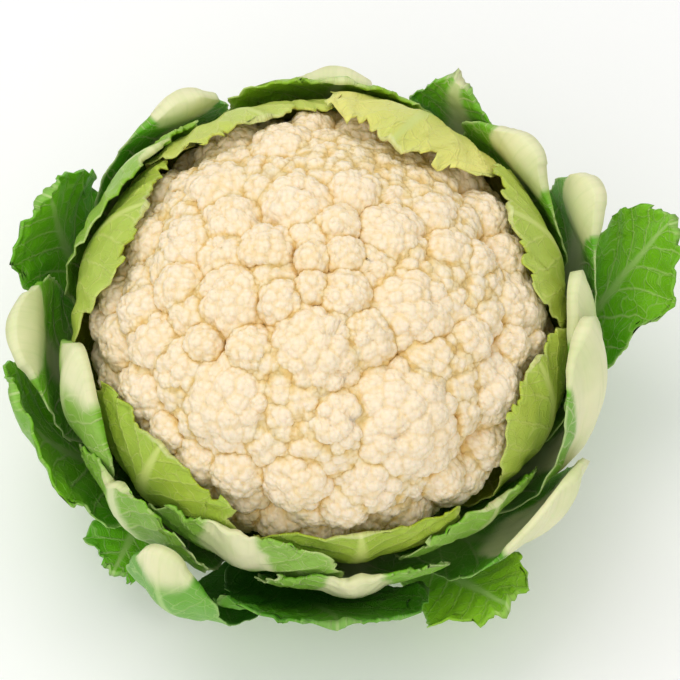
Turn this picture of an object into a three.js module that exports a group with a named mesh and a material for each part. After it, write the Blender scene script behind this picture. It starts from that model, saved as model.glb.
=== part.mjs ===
// A whole cauliflower, trimmed for the shop: the cream head of florets, the cut stalk under it,
// and the wrapper leaves, which leave the stalk in a spiral, cup the head and end torn or cut off.
// Units are millimetres, +Z up. The origin is the centre of the stalk's flat cut end, on which it stands.
// Azimuths are in degrees from the front (-Y), positive towards +X.

import * as THREE from "three";

const degree = Math.PI / 180;
const goldenAngle = Math.PI * (3 - Math.sqrt(5));
const goldenShare = 0.618034;

// The head: an upright oval dome that every floret touches from inside.
const headRadius = 80;
const headRise = 60;
const headDrop = 50;
const headCentreHeight = 78;
const coreShare = 0.86;
const undersideDrop = 43;
const headDetail = 17;

// The stalk, cut flat below, and the gap between pieces that touch.
const stalkRadius = 26;
const gap = 0.4;

// The direction the front florets were laid out from, above the horizon.
const viewElevation = 60 * degree;

// Leaves lie in shells round the head. A shell's climb is 0 under the head, 90 at its waist and more above.
const lowShellGrowth = 0.8;
const leafRows = 9;
const leafColumns = [-1, -0.72, -0.42, -0.16, 0, 0.16, 0.42, 0.72, 1];
const bladeThickness = 1.3;
const petioleThickness = 3.4;
const knobStart = 0.55;
const knobEnd = 1.03;
const cornerPower = 2.2;
const foldStart = 0.35;
const rootHalfWidth = 9.5;

// Florets that face the front, each as [across, up, radius] on a plane square to the view, in millimetres
// from the head's centre.
const frontFlorets = [
  [-30, 57, 14], [-13, 57, 12], [15, 60, 13], [-4, 66, 8], [41, 48, 15], [37, 36, 8], [11, 43, 9],
  [-8, 38, 12], [-33, 42, 13], [-54, 43, 10], [-57, 28, 9], [23, 28, 11.5], [8, 23, 6], [6, 33, 6.5],
  [42, 24, 8], [54, 35, 10], [-18, 24, 8.5], [-3, 22, 5], [-3, 12.5, 5], [-44, 26, 10], [-47, 12, 8],
  [-29, 7, 11.5], [-13, 7.5, 7], [7.5, 9.5, 8], [28.5, 4, 14.5], [61, 22, 8.5], [51, 21, 7],
  [61, 5.5, 14], [49, -5, 7], [63, -7, 6.5], [71, -6, 5], [54, -20, 12.5], [-2, -9, 15.5],
  [-39, -6, 5.5], [-23, -8, 7], [-28, -25.5, 16.5], [-54, -6.5, 10], [-57, -22, 10.5], [-69, 9.5, 6.5],
  [-59, 4, 9], [-73, 0.5, 6.5], [25, -31, 20], [5, -32, 10.5], [16, -49, 12], [54, -39, 10],
  [51, -56, 13], [40, -51, 7], [27, -61.5, 9], [8, -58, 8.5], [-7.5, -49.5, 11], [-1, -66, 10.5],
  [-13, -65, 9], [-28, -48, 8], [-40, -44, 8.5], [-50, -36, 7],
];
const frontLift = { 24: 1, 32: 2, 35: 1.5, 41: 2.5, 31: 1 };

// The florets that face away follow a spiral over the whole head, wherever it is still bare.
const spiralFlorets = 170;
const spiralRadius = [8, 13];
const lowestFloret = -26;
const bareShare = 0.66;
const subFloretsPerFloret = 22;

// Leaves, inner ones first. Each row of path is [azimuth, climb, shell, half width], from the foot of the
// blade to its torn end, and root is the azimuth at which its stem leaves the stalk. Where the shell grows
// at the end, the thick midrib bends outwards into a lip, and knob is how much thicker the flesh is there.
// end is how far the corners fall back, and fold is how far each edge bends outwards, in millimetres.
const leaves = [
  // Thin inner leaves, pressed against the head.
  { name: "inner_leaf_front", layer: "inner", root: 4, end: 0.1, seed: 1,
    path: [[6, 46, 5.5, 20], [8, 68, 5.5, 32], [9, 84, 4.6, 36], [9, 94, 3.6, 31]] },
  { name: "inner_leaf_front_left", layer: "inner", root: -47, end: 0.12, seed: 2,
    path: [[-46, 46, 5.5, 20], [-46, 72, 5.5, 34], [-44, 93, 4.2, 36], [-42, 110, 3.6, 27]] },
  { name: "inner_leaf_left", layer: "inner", root: -99, end: 0.12, seed: 3,
    path: [[-99, 48, 5.5, 21], [-102, 80, 5, 35], [-107, 106, 4.1, 33], [-111, 131, 3.6, 22]] },
  { name: "inner_leaf_back_left", layer: "inner", root: -150, end: 0.1, seed: 4,
    path: [[-153, 48, 5.5, 21], [-155, 80, 5.2, 39], [-156, 108, 3.8, 37], [-160, 136, 3.8, 26]] },
  { name: "inner_leaf_back_right", layer: "inner", root: 158, end: 0.12, seed: 5,
    path: [[153, 48, 5.5, 21], [153, 82, 5.2, 36], [152, 114, 4.95, 34.5], [149, 147, 4.4, 22]] },
  { name: "inner_leaf_right", layer: "inner", root: 107, end: 0.12, seed: 6,
    path: [[105, 48, 5.5, 20], [105, 80, 5.2, 31.5], [106, 104, 4.5, 31], [108, 128, 4.4, 23]] },
  { name: "inner_leaf_front_right", layer: "inner", root: 55, end: 0.12, seed: 7,
    path: [[56, 46, 5.5, 18], [60, 70, 5.5, 24], [65, 93, 4.7, 26.5], [68, 114, 3.8, 21]] },

  // Middle leaves.
  { name: "middle_leaf_front", layer: "middle", root: -18, end: 0.1, seed: 8,
    path: [[-18, 46, 10.5, 20], [-18, 66, 10.5, 34], [-19, 83, 9.4, 34], [-20, 97, 8.4, 25]] },
  { name: "middle_leaf_left", layer: "middle", root: -69, end: 0.3, seed: 9, knob: 6,
    path: [[-68, 48, 10.5, 20], [-68, 76, 10.5, 28], [-69, 96, 9.4, 26], [-72, 113, 11, 15]] },
  { name: "middle_leaf_back_left", layer: "middle", root: -121, end: 0.15, seed: 10,
    path: [[-122, 48, 10.5, 20], [-124, 80, 10.2, 36], [-127, 104, 8.6, 33], [-130, 122, 8, 23]] },
  { name: "middle_leaf_back", layer: "middle", root: 188, end: 0.15, seed: 11,
    path: [[182, 48, 10.5, 20], [178, 80, 10.4, 38], [177, 104, 9.6, 36], [175, 120, 9.6, 25]] },
  { name: "middle_leaf_back_right", layer: "middle", root: 136, end: 0.3, seed: 12, knob: 5,
    path: [[131, 48, 10.5, 20], [128, 80, 10.2, 34], [128, 101, 9.6, 27], [127, 111, 13, 18],
      [126, 115, 20, 14]] },
  { name: "middle_leaf_right", layer: "middle", root: 85, end: 0.3, seed: 13, knob: 6,
    path: [[82, 48, 10.5, 19], [84, 78, 10.5, 26], [88, 98, 9.4, 22], [92, 112, 11.5, 13]] },
  { name: "middle_leaf_front_right", layer: "middle", root: 34, end: 0.12, seed: 14,
    path: [[35, 46, 10.5, 18], [37, 62, 10.5, 26], [39, 77, 9.6, 28], [41, 88, 8.6, 22]] },

  // Outer leaves, with the thickest midribs.
  { name: "outer_leaf_front", layer: "outer", root: 8, end: 0.1, seed: 15,
    path: [[8, 44, 16.5, 19], [7, 60, 16.5, 30], [7, 72, 15.2, 32], [7, 83, 13.8, 24]] },
  { name: "outer_leaf_front_left", layer: "outer", root: -37, end: 0.15, seed: 16,
    path: [[-40, 46, 16.5, 19], [-43, 68, 16, 29], [-45, 83, 14.8, 30], [-47, 95, 13.4, 24]] },
  { name: "outer_leaf_left", layer: "outer", root: -82, end: 0.3, seed: 17, knob: 4,
    path: [[-85, 48, 16.5, 20], [-86, 74, 16.5, 29], [-86, 88, 16.5, 26], [-85, 97, 20, 23],
      [-84, 102, 28, 19]] },
  { name: "outer_leaf_back_left", layer: "outer", root: -127, end: 0.3, seed: 29, knob: 6,
    path: [[-136, 48, 16.5, 20], [-140, 76, 16.5, 28], [-145, 94, 15.5, 24], [-148, 103, 15.5, 18],
      [-149, 107, 18, 14]] },
  { name: "outer_leaf_back", layer: "outer", root: 188, end: 0.3, seed: 19, knob: 6,
    path: [[184, 48, 16.5, 19], [180, 74, 16.5, 26], [178, 87, 16.5, 23], [177, 94, 17, 18],
      [177, 98, 19, 14]] },
  { name: "outer_leaf_back_right", layer: "outer", root: 143, end: 0.4, seed: 20,
    path: [[146, 48, 16.5, 16.5], [148, 78, 16.5, 22], [149, 95, 16, 20], [150, 105, 17, 16],
      [150, 110, 22, 11]] },
  { name: "outer_leaf_right_back", layer: "outer", root: 98, end: 0.3, seed: 21, knob: 6,
    path: [[103, 48, 16.5, 18], [109, 76, 16.5, 26], [112, 93, 17, 22], [113, 102, 20.5, 16],
      [113, 107, 28, 13]] },
  { name: "outer_leaf_right", layer: "outer", root: 53, end: 0.3, seed: 22, knob: 4,
    path: [[60, 46, 16.5, 19], [67, 70, 16.5, 26], [72, 90, 15.5, 23], [76, 105, 15, 18],
      [78, 114, 16.5, 13]] },

  // The oldest leaves, which bend away from the head.
  { name: "flared_leaf_right", layer: "flared", root: 90, end: 0.35, seed: 23, fold: [7, 2],
    path: [[96, 46, 25, 16], [101, 64, 25, 21], [104, 80, 30, 23], [105, 91, 38, 23], [105, 98, 46, 17]] },
  { name: "flared_leaf_front_right", layer: "flared", root: 34, end: 0.4, seed: 24, knob: 3,
    path: [[40, 44, 25, 17], [46, 60, 24.5, 27], [51, 76, 23, 30], [55, 91, 22, 24]] },
  { name: "flared_leaf_front", layer: "flared", root: -20, end: 0.25, seed: 32, fold: [0, 3],
    path: [[-10, 42, 25, 20], [-2, 56, 25, 32], [2, 66, 25.5, 38], [3, 74, 27, 29]] },
  { name: "flared_leaf_left", layer: "flared", root: -66, end: 0.3, seed: 26, fold: [3, 0],
    path: [[-67, 44, 25, 20], [-69, 64, 25, 32], [-71, 82, 26, 34], [-73, 96, 28, 25]] },
  { name: "flared_leaf_back_left", layer: "flared", root: -112, end: 0.4, seed: 27, fold: [2, 12],
    path: [[-113, 46, 25, 18], [-114, 68, 23.5, 24], [-114, 85, 22, 25], [-113, 98, 22.5, 24],
      [-112, 106, 25, 18]] },
  { name: "curled_leaf_front_left", layer: "flared", root: -13, end: 0.25, seed: 30, knob: 5,
    path: [[-20, 40, 33.5, 12], [-23, 52, 34, 14], [-27, 68, 32, 17], [-29, 85, 27, 16],
      [-30, 95, 23.5, 12]] },
  { name: "ragged_leaf_front_right", layer: "flared", root: 31, end: 0.3, seed: 31, fold: [4, 0],
    path: [[31, 40, 33, 12], [33, 50, 34, 17], [34, 59, 36, 21], [35, 66, 40, 18]] },
  { name: "hanging_leaf", layer: "flared", root: -57, end: 0.15, seed: 28,
    path: [[-55, 34, 33, 10], [-53, 44, 35, 13], [-49, 50, 39, 14], [-46, 54, 44, 11]] },
];

// What the leaves of a layer share: the midrib's [half width, bulge], how far one edge lies outside the
// other, the edge's [wave height, waves], and the finish.
const layers = {
  inner: { rib: [7, 2.2], lap: 1, ruffle: [0.4, 2], color: 0xb9c96a, roughness: 0.6 },
  middle: { rib: [8, 2.6], lap: 1, ruffle: [0.5, 2], color: 0x8fb868, roughness: 0.55 },
  outer: { rib: [11, 5], lap: 1.1, ruffle: [0.5, 2], color: 0x6aa346, roughness: 0.5 },
  flared: { rib: [9, 4], lap: 0, ruffle: [3, 3], color: 0x3f7a34, roughness: 0.5 },
};

const smoothNoise = (x, seed) =>
  0.5 * Math.sin(1.7 * x + 12.9 * seed)
  + 0.3 * Math.sin(3.1 * x + 4.7 * seed)
  + 0.2 * Math.sin(5.3 * x + 7.1 * seed);

// A value along control rows, smooth through every row.
function alongRows(rows, column, share) {
  const spans = rows.length - 1;
  const place = Math.min(Math.max(share, 0), 1) * spans;
  const index = Math.min(Math.floor(place), spans - 1);
  const local = place - index;
  const at = (i) => rows[Math.min(Math.max(i, 0), spans)][column];
  const [before, start, end, after] = [at(index - 1), at(index), at(index + 1), at(index + 2)];
  const square = local * local;
  const cube = square * local;
  return 0.5 * (2 * start + (end - before) * local
    + (2 * before - 5 * start + 4 * end - after) * square
    + (3 * start - before - 3 * end + after) * cube);
}

// A point of a shell round the head, from its azimuth and climb in radians.
function shellPoint(azimuth, climb, shell) {
  const reach = (headRadius + shell) * Math.sin(climb);
  const low = climb < Math.PI / 2;
  const tall = low ? headDrop + lowShellGrowth * shell : headRise + shell;
  return new THREE.Vector3(reach * Math.sin(azimuth), -reach * Math.cos(azimuth),
    headCentreHeight - tall * Math.cos(climb));
}

// A floret's centre: the line of sight at (across, up) meets the dome that is smaller by the floret's size.
function floretOnSight([across, up, radius], lift) {
  const inset = radius - lift;
  const [wide, tall] = [headRadius - inset, headRise - inset];
  const [sine, cosine] = [Math.sin(viewElevation), Math.cos(viewElevation)];
  const outline = Math.hypot(wide * sine, tall * cosine);
  const reach = Math.hypot(across / wide, up / outline);
  const [x, v] = reach > 0.985 ? [across * 0.985 / reach, up * 0.985 / reach] : [across, up];
  // The point is (x, v sine - k cosine, v cosine + k sine), and it lies on the small dome.
  const a = (cosine / wide) ** 2 + (sine / tall) ** 2;
  const b = 2 * v * sine * cosine * (1 / tall ** 2 - 1 / wide ** 2);
  const c = (x / wide) ** 2 + (v * sine / wide) ** 2 + (v * cosine / tall) ** 2 - 1;
  const k = (-b + Math.sqrt(Math.max(b * b - 4 * a * c, 0))) / (2 * a);
  const centre = new THREE.Vector3(x, v * sine - k * cosine, v * cosine + k * sine);
  return settled(centre, radius);
}

// The lower half of the dome is shallower than the upper, and the outward axis is the dome's normal there.
function settled(centre, radius) {
  if (centre.z < 0) centre.z *= headDrop / headRise;
  const axis = new THREE.Vector3(
    centre.x / headRadius ** 2,
    centre.y / headRadius ** 2,
    centre.z / headRise ** 2,
  );
  return { centre, radius, axis: axis.normalize() };
}

function allFlorets() {
  const florets = frontFlorets.map((row, i) => floretOnSight(row, frontLift[i] ?? 1));
  for (let i = 0; i < spiralFlorets; i++) {
    const z = 1 - (i + 0.5) * 2 / spiralFlorets;
    const turn = i * goldenAngle;
    const radius = spiralRadius[0] + (spiralRadius[1] - spiralRadius[0]) * ((i * goldenShare) % 1);
    const flat = Math.sqrt(1 - z * z);
    const centre = new THREE.Vector3(flat * Math.cos(turn) * (headRadius - radius),
      flat * Math.sin(turn) * (headRadius - radius), z * (headRise - radius));
    const bare = florets.every((other) =>
      other.centre.distanceTo(centre) > bareShare * (radius + other.radius));
    if (centre.z > lowestFloret && bare) florets.push(settled(centre, radius));
  }
  return florets;
}

// The round sub-florets of one floret, on a spiral from its crown to its side.
function subFlorets({ centre, radius, axis }) {
  const small = 1.4 + 0.28 * radius;
  const side = new THREE.Vector3(1, 0, 0).cross(axis).normalize();
  const other = axis.clone().cross(side);
  return Array.from({ length: subFloretsPerFloret }, (_, i) => {
    const rise = 1 - (i + 0.5) * 1.25 / subFloretsPerFloret;
    const flat = Math.sqrt(1 - rise * rise);
    const turn = i * goldenAngle;
    const direction = axis.clone().multiplyScalar(rise)
      .addScaledVector(side, flat * Math.cos(turn)).addScaledVector(other, flat * Math.sin(turn));
    return { centre: direction.multiplyScalar(radius - 0.7 * small).add(centre), radius: small };
  });
}

// How far a ray from the head's centre goes before it leaves a ball.
function exitDistance(direction, { centre, radius }) {
  const along = direction.dot(centre);
  const square = radius * radius - centre.lengthSq() + along * along;
  return square > 0 ? along + Math.sqrt(square) : 0;
}

function headMesh() {
  const florets = allFlorets();
  const balls = florets.flatMap(subFlorets)
    .concat(florets.map(({ centre, radius }) => ({ centre, radius: radius * 0.9 })));
  const geometry = new THREE.IcosahedronGeometry(1, headDetail);
  const position = geometry.getAttribute("position");
  const direction = new THREE.Vector3();
  const crowding = 0.22;
  for (let i = 0; i < position.count; i++) {
    direction.fromBufferAttribute(position, i);
    direction.z += crowding;
    direction.normalize();
    const tall = direction.z > 0 ? headRise : headDrop;
    const inverse = Math.hypot(direction.x / headRadius, direction.y / headRadius, direction.z / tall);
    const core = coreShare / inverse;
    const reach = balls.reduce((most, ball) => Math.max(most, exitDistance(direction, ball)), core);
    const z = Math.max(direction.z * reach, -undersideDrop);
    position.setXYZ(i, direction.x * reach, direction.y * reach, z);
  }
  geometry.computeVertexNormals();
  const mesh = new THREE.Mesh(geometry,
    new THREE.MeshStandardMaterial({ color: 0xf3e2bf, roughness: 0.75, metalness: 0 }));
  mesh.name = "curd";
  mesh.position.z = headCentreHeight;
  return mesh;
}

function stalkMesh() {
  const top = headCentreHeight - undersideDrop - gap;
  const rounding = 1.5;
  const collar = { width: 2, height: 4 };
  const profile = [
    [0, 0],
    [stalkRadius - rounding, 0],
    [stalkRadius, rounding],
    [stalkRadius, top - collar.height],
    [stalkRadius + collar.width, top],
    [0, top],
  ].map(([radius, height]) => new THREE.Vector2(radius, height));
  const geometry = new THREE.LatheGeometry(profile, 40);
  geometry.rotateX(Math.PI / 2);
  const mesh = new THREE.Mesh(geometry,
    new THREE.MeshStandardMaterial({ color: 0xdfe3b8, roughness: 0.6, metalness: 0 }));
  mesh.name = "stalk";
  return mesh;
}

// A leaf's middle surface at a share along it and a share across it, from -1 to 1, and the way its outer
// side faces there: tip is how steeply the leaf bends away from its shell.
function leafAt(leaf, rows, share, across) {
  const { lap, ruffle } = layers[leaf.layer];
  const edge = Math.abs(across);
  const tear = leaf.knob ? 0 : 0.05 * smoothNoise(4 * across, leaf.seed);
  const length = share * (1 - leaf.end * edge ** cornerPower + tear * share);
  const [azimuth, climb, shell, width] = [0, 1, 2, 3].map((column) => alongRows(rows, column, length));
  const reach = Math.max((headRadius + shell) * Math.sin(climb * degree), stalkRadius);
  const meridian = 0.5 * (headRadius + headRise) + shell;
  const ahead = [0, 1, 2].map((column) =>
    alongRows(rows, column, length + 0.02) - alongRows(rows, column, length - 0.02));
  const [sideways, upward] = [reach * ahead[0] * degree, meridian * ahead[1] * degree];
  const lean = Math.atan2(sideways, Math.hypot(upward, ahead[2])) * Math.min(1, 3 * length);
  const tip = Math.atan2(ahead[2], upward);
  const side = across < 0 ? 0.37 : 0.71;
  const torn = 1 + 0.12 * length * smoothNoise(9 * length + side * 10, leaf.seed);
  const distance = across * width * torn;
  const waveHeight = leaf.knob ? 0.4 : ruffle[0];
  const swing = Math.sin(2 * Math.PI * (ruffle[1] * length + side) + leaf.seed);
  const wave = waveHeight * length * edge ** 2.2 * swing;
  const folding = Math.max(0, length - foldStart) / (1 - foldStart);
  const bend = (leaf.fold ?? [0, 0])[across < 0 ? 0 : 1] * edge * folding;
  return {
    azimuth: azimuth * degree + distance * Math.cos(lean) / reach,
    climb: climb * degree - distance * Math.sin(lean) / meridian,
    shell: shell + wave + bend + lap * across * Math.min(1, 2 * length),
    length,
    width,
    tip,
    meridian,
  };
}

function leafMesh(leaf) {
  const { rib, color, roughness } = layers[leaf.layer];
  const baseShell = leaf.path[0][2];
  const baseClimb = Math.asin((stalkRadius + gap) / (headRadius + baseShell - petioleThickness / 2)) / degree;
  const rows = [[leaf.root, baseClimb, baseShell, rootHalfWidth], ...leaf.path];
  const points = [];
  for (const face of [-1, 1])
    for (let i = 0; i <= leafRows; i++)
      for (const across of leafColumns) {
        const spot = leafAt(leaf, rows, i / leafRows, across);
        const thin = Math.min(1, 3 * spot.length);
        const knobShare = Math.max(0, (spot.length - knobStart) / (knobEnd - knobStart));
        const knob = (leaf.knob ?? 0) * Math.sin(Math.PI * knobShare) * (1 - across ** 2);
        const thickness = petioleThickness + (bladeThickness - petioleThickness) * thin + knob;
        const ribWidth = rib[0] * (1 - 0.5 * spot.length) / Math.max(spot.width, 1);
        const ridge = Math.max(0, 1 - (across / (1.5 * ribWidth)) ** 2);
        const straight = Math.max(0, Math.cos(spot.tip)) ** 2;
        const height = rib[1] * straight * (1 - 0.45 * spot.length) * Math.min(1, 0.4 + 3 * spot.length);
        const bulge = face > 0 ? height * ridge : 0;
        const out = face * thickness / 2 + bulge;
        points.push(shellPoint(spot.azimuth, spot.climb - out * Math.sin(spot.tip) / spot.meridian,
          spot.shell + out * Math.cos(spot.tip)));
      }
  // Each cell is cut along its shorter diagonal, alike on both faces: the rows arch over the midrib.
  const columns = leafColumns.length;
  const faceSize = (leafRows + 1) * columns;
  const triangles = [];
  for (let i = 0; i < leafRows; i++)
    for (let j = 0; j < columns - 1; j++) {
      const a = i * columns + j;
      const [b, c, d] = [a + 1, a + columns + 1, a + columns];
      const halves = j < (columns - 1) / 2 ? [[a, b, d], [b, c, d]] : [[a, b, c], [a, c, d]];
      for (const [p, q, r] of halves) triangles.push(faceSize + p, faceSize + q, faceSize + r, p, r, q);
    }
  const border = [];
  for (let j = 0; j < columns - 1; j++) border.push(j);
  for (let i = 0; i < leafRows; i++) border.push(i * columns + columns - 1);
  for (let j = columns - 1; j > 0; j--) border.push(leafRows * columns + j);
  for (let i = leafRows; i > 0; i--) border.push(i * columns);
  border.forEach((a, k) => {
    const b = border[(k + 1) % border.length];
    triangles.push(a, b, faceSize + b, a, faceSize + b, faceSize + a);
  });
  const geometry = new THREE.BufferGeometry();
  geometry.setAttribute("position", new THREE.BufferAttribute(
    new Float32Array(points.flatMap((p) => [p.x, p.y, p.z])), 3));
  geometry.setIndex(triangles);
  geometry.computeVertexNormals();
  const mesh = new THREE.Mesh(geometry,
    new THREE.MeshStandardMaterial({ color, roughness, metalness: 0 }));
  mesh.name = leaf.name;
  return mesh;
}

const cauliflower = new THREE.Group();
cauliflower.add(headMesh(), stalkMesh(), ...leaves.map(leafMesh));

export default cauliflower;
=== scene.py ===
import math

import bpy
import numpy as np
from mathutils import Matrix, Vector


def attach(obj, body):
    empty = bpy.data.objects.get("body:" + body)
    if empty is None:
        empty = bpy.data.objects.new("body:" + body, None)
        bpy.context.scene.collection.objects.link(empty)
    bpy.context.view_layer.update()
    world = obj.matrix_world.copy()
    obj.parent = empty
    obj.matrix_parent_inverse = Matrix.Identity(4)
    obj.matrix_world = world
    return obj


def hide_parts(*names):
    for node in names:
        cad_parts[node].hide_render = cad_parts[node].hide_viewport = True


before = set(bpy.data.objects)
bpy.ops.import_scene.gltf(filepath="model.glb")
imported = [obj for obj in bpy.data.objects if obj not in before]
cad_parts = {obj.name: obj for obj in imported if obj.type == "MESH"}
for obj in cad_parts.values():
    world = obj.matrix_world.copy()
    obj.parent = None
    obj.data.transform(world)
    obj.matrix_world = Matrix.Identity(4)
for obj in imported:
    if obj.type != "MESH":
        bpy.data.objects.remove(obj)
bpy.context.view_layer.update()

mm = 0.001
goldenAngle = math.pi * (3 - math.sqrt(5))

# The head is an upright oval dome, and the leaves lie in shells round it. All sizes are in millimetres.
head = dict(radius=80, rise=60, drop=50, height=78, lowShellGrowth=0.8)
stalk = dict(radius=26, top=34.6, edge=1.5, cutMiddle=0.3, sideShares=(0.3, 0.85), columns=160, rows=70)


# Small helpers

def newObject(name, points, faces, nodes, material, attributes=None, uv=None):
    # one mesh from a point array in mm and a face array, with float attributes and a uv per point
    mesh = bpy.data.meshes.new(name)
    mesh.from_pydata((points * mm).tolist(), [], faces)
    mesh.polygons.foreach_set("use_smooth", np.ones(len(mesh.polygons), dtype=bool))
    for key, values in (attributes or {}).items():
        mesh.attributes.new(key, "FLOAT", "POINT").data.foreach_set("value", values.astype(np.float32))
    if uv is not None:
        corner = np.zeros(len(mesh.loops), dtype=np.int32)
        mesh.loops.foreach_get("vertex_index", corner)
        mesh.uv_layers.new(name="UVMap").data.foreach_set("uv", uv[corner].astype(np.float32).ravel())
    mesh.materials.append(material)
    mesh.update()
    thing = bpy.data.objects.new(name, mesh)
    bpy.context.scene.collection.objects.link(thing)
    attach(thing, "root")
    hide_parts(*nodes)


def smoothStep(low, high, x):
    # 0 below low, 1 above high, and an s-curve between
    t = np.clip((x - low) / (high - low), 0, 1)
    return t * t * (3 - 2 * t)


def unit(v):
    # the same direction with a length of 1
    return v / np.linalg.norm(v, axis=-1, keepdims=True)


def gridFaces(rows, columns, start=0, flip=False):
    # the four-cornered faces of a grid of rows by columns points
    a = (np.arange(rows - 1)[:, None] * columns + np.arange(columns - 1)[None, :]).ravel() + start
    quads = np.stack([a, a + 1, a + columns + 1, a + columns], axis=1)
    return quads[:, ::-1] if flip else quads


def ringFaces(rings, columns, flip=False):
    # the faces between closed rings of points, with a fan at each end to one of the two points after them
    j = np.arange(columns)
    after, pole, last = (j + 1) % columns, rings * columns, (rings - 1) * columns
    quads = np.vstack([np.stack([a + j, a + after, a + columns + after, a + columns + j], axis=1)
                       for a in range(0, last, columns)])
    first = np.stack([np.full(columns, pole), after, j], axis=1)
    end = np.stack([last + j, last + after, np.full(columns, pole + 1)], axis=1)
    if flip:
        quads, first, end = quads[:, [0, 3, 2, 1]], first[:, [0, 2, 1]], end[:, [1, 0, 2]]
    return quads.tolist() + first.tolist() + end.tolist()


# Materials

shaderInputs = {
    "Roughness": "roughness", "Specular IOR Level": "specular", "Subsurface Weight": "scatter",
    "Subsurface Radius": "scatterRadius", "Subsurface Scale": "scatterScale",
}


def nodeTree(name, look):
    # a fresh material, as small functions that add nodes to it and one that finishes it
    material = bpy.data.materials.new(name)
    material.use_nodes = True
    nodes, links = material.node_tree.nodes, material.node_tree.links
    shader = nodes["Principled BSDF"]
    for socket, key in shaderInputs.items():
        shader.inputs[socket].default_value = look[key]

    def add(kind, inputs=None, **settings):
        node = nodes.new(kind)
        for key, value in settings.items():
            setattr(node, key, value)
        for key, value in (inputs or {}).items():
            socket = node.inputs[key]
            if isinstance(value, bpy.types.NodeSocket):
                links.new(value, socket)
            else:
                socket.default_value = value
        return node

    def maths(operation, *values):
        return add("ShaderNodeMath", dict(enumerate(values)), operation=operation).outputs[0]

    def above(value, level, factor):
        # 0 at the level, rising by the factor
        return maths("MULTIPLY", maths("SUBTRACT", value, level), factor)

    def noise(place, scale, detail):
        return add("ShaderNodeTexNoise", {"Vector": place, "Scale": scale, "Detail": detail}).outputs["Fac"]

    def attribute(key):
        return add("ShaderNodeAttribute", attribute_name=key).outputs["Fac"]

    def finish(color, bump):
        links.new(color, shader.inputs["Base Color"])
        links.new(bump.outputs["Normal"], shader.inputs["Normal"])
        return material

    return add, maths, above, noise, attribute, finish


def ramp(add, factor, stops):
    # a colour that runs through the stops, each a place from 0 to 1 and its colour
    node = add("ShaderNodeValToRGB", {"Fac": factor})
    elements = node.color_ramp.elements
    while len(elements) < len(stops):
        elements.new(0.5)
    for element, (place, color) in zip(elements, stops):
        element.position = place
        element.color = (*color, 1)
    return node.outputs["Color"]


# Sizes are in metres here, and a scale is in cells to the metre.
# light is the cream flesh; warm and deep are painted shade for creases, and the bead tint is painted shade
# between beads.
curdLook = dict(
    light=(0.93, 0.79, 0.585), warmShade=(0.89, 0.70, 0.40), deep=(0.78, 0.54, 0.20), warmShadeAt=0.45,
    roughness=0.6, specular=0.35, cloudScale=45, cloudTint=0.35,
    beadScale=440, beadSpread=0.75, beadHeight=0.0007, beadShadeTint=0.34, beadMiddle=0.15,
    grainScale=1500, grainHeight=0.00006, scatter=0.25, scatterRadius=(1.0, 0.75, 0.45), scatterScale=0.0018,
)


def curdMaterial():
    # cream flesh, with painted warm shade that deepens the further a spot lies between florets or beads, and
    # a fine grain on the beads
    look = curdLook
    add, maths, above, noise, attribute, finish = nodeTree("curdFlesh", look)
    place = add("ShaderNodeTexCoord").outputs["Object"]
    cloud = above(noise(place, look["cloudScale"], 3), 0.5, look["cloudTint"])
    cells = {"Vector": place, "Scale": look["beadScale"], "Randomness": look["beadSpread"]}
    beads = add("ShaderNodeTexVoronoi", cells).outputs["Distance"]
    dip = maths("MULTIPLY", beads, beads)
    # painted shade: the crease value and the dips between beads darken the colour, and the cloud adds random
    # tone
    depth = maths("ADD", attribute("crease"), cloud)
    depth = maths("ADD", depth, above(dip, look["beadMiddle"], look["beadShadeTint"]))
    stops = [(0.0, look["light"]), (look["warmShadeAt"], look["warmShade"]), (1.0, look["deep"])]
    color = ramp(add, depth, stops)
    grain = add("ShaderNodeTexVoronoi", {"Vector": place, "Scale": look["grainScale"]}).outputs["Distance"]
    grainBump = add("ShaderNodeBump", {"Height": maths("SUBTRACT", 1.0, grain), "Strength": 0.5,
                                       "Distance": look["grainHeight"]})
    beadBump = add("ShaderNodeBump", {"Height": maths("SUBTRACT", 1.0, dip), "Strength": 1.0,
                                      "Distance": look["beadHeight"], "Normal": grainBump.outputs["Normal"]})
    return finish(color, beadBump)


# The colours of each layer: the blade by its midrib and by its edge, the midrib itself, the outer face, and
# a fresh leaf. ribWidth is the midrib's half width in millimetres, and ribShow is how pale it is.
leafLooks = {
    "inner": dict(near=(0.43, 0.53, 0.02), edge=(0.35, 0.47, 0.006), rib=(0.62, 0.70, 0.20),
                  back=(0.38, 0.54, 0.06), fresh=(0.86, 0.80, 0.22), ribWidth=5.0, ribShow=0.75),
    "middle": dict(near=(0.28, 0.56, 0.04), edge=(0.15, 0.44, 0.010), rib=(0.60, 0.70, 0.30),
                   back=(0.27, 0.49, 0.07), fresh=(0.36, 0.56, 0.03), ribWidth=6.0, ribShow=0.85),
    "outer": dict(near=(0.21, 0.54, 0.03), edge=(0.10, 0.41, 0.006), rib=(0.65, 0.71, 0.38),
                  back=(0.21, 0.44, 0.06), fresh=(0.34, 0.56, 0.03), ribWidth=9.0, ribShow=0.95),
    "flared": dict(near=(0.17, 0.52, 0.010), edge=(0.09, 0.38, 0.003), rib=(0.42, 0.62, 0.20),
                   back=(0.16, 0.40, 0.05), fresh=(0.30, 0.56, 0.02), ribWidth=3.0, ribShow=0.7),
}
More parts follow.
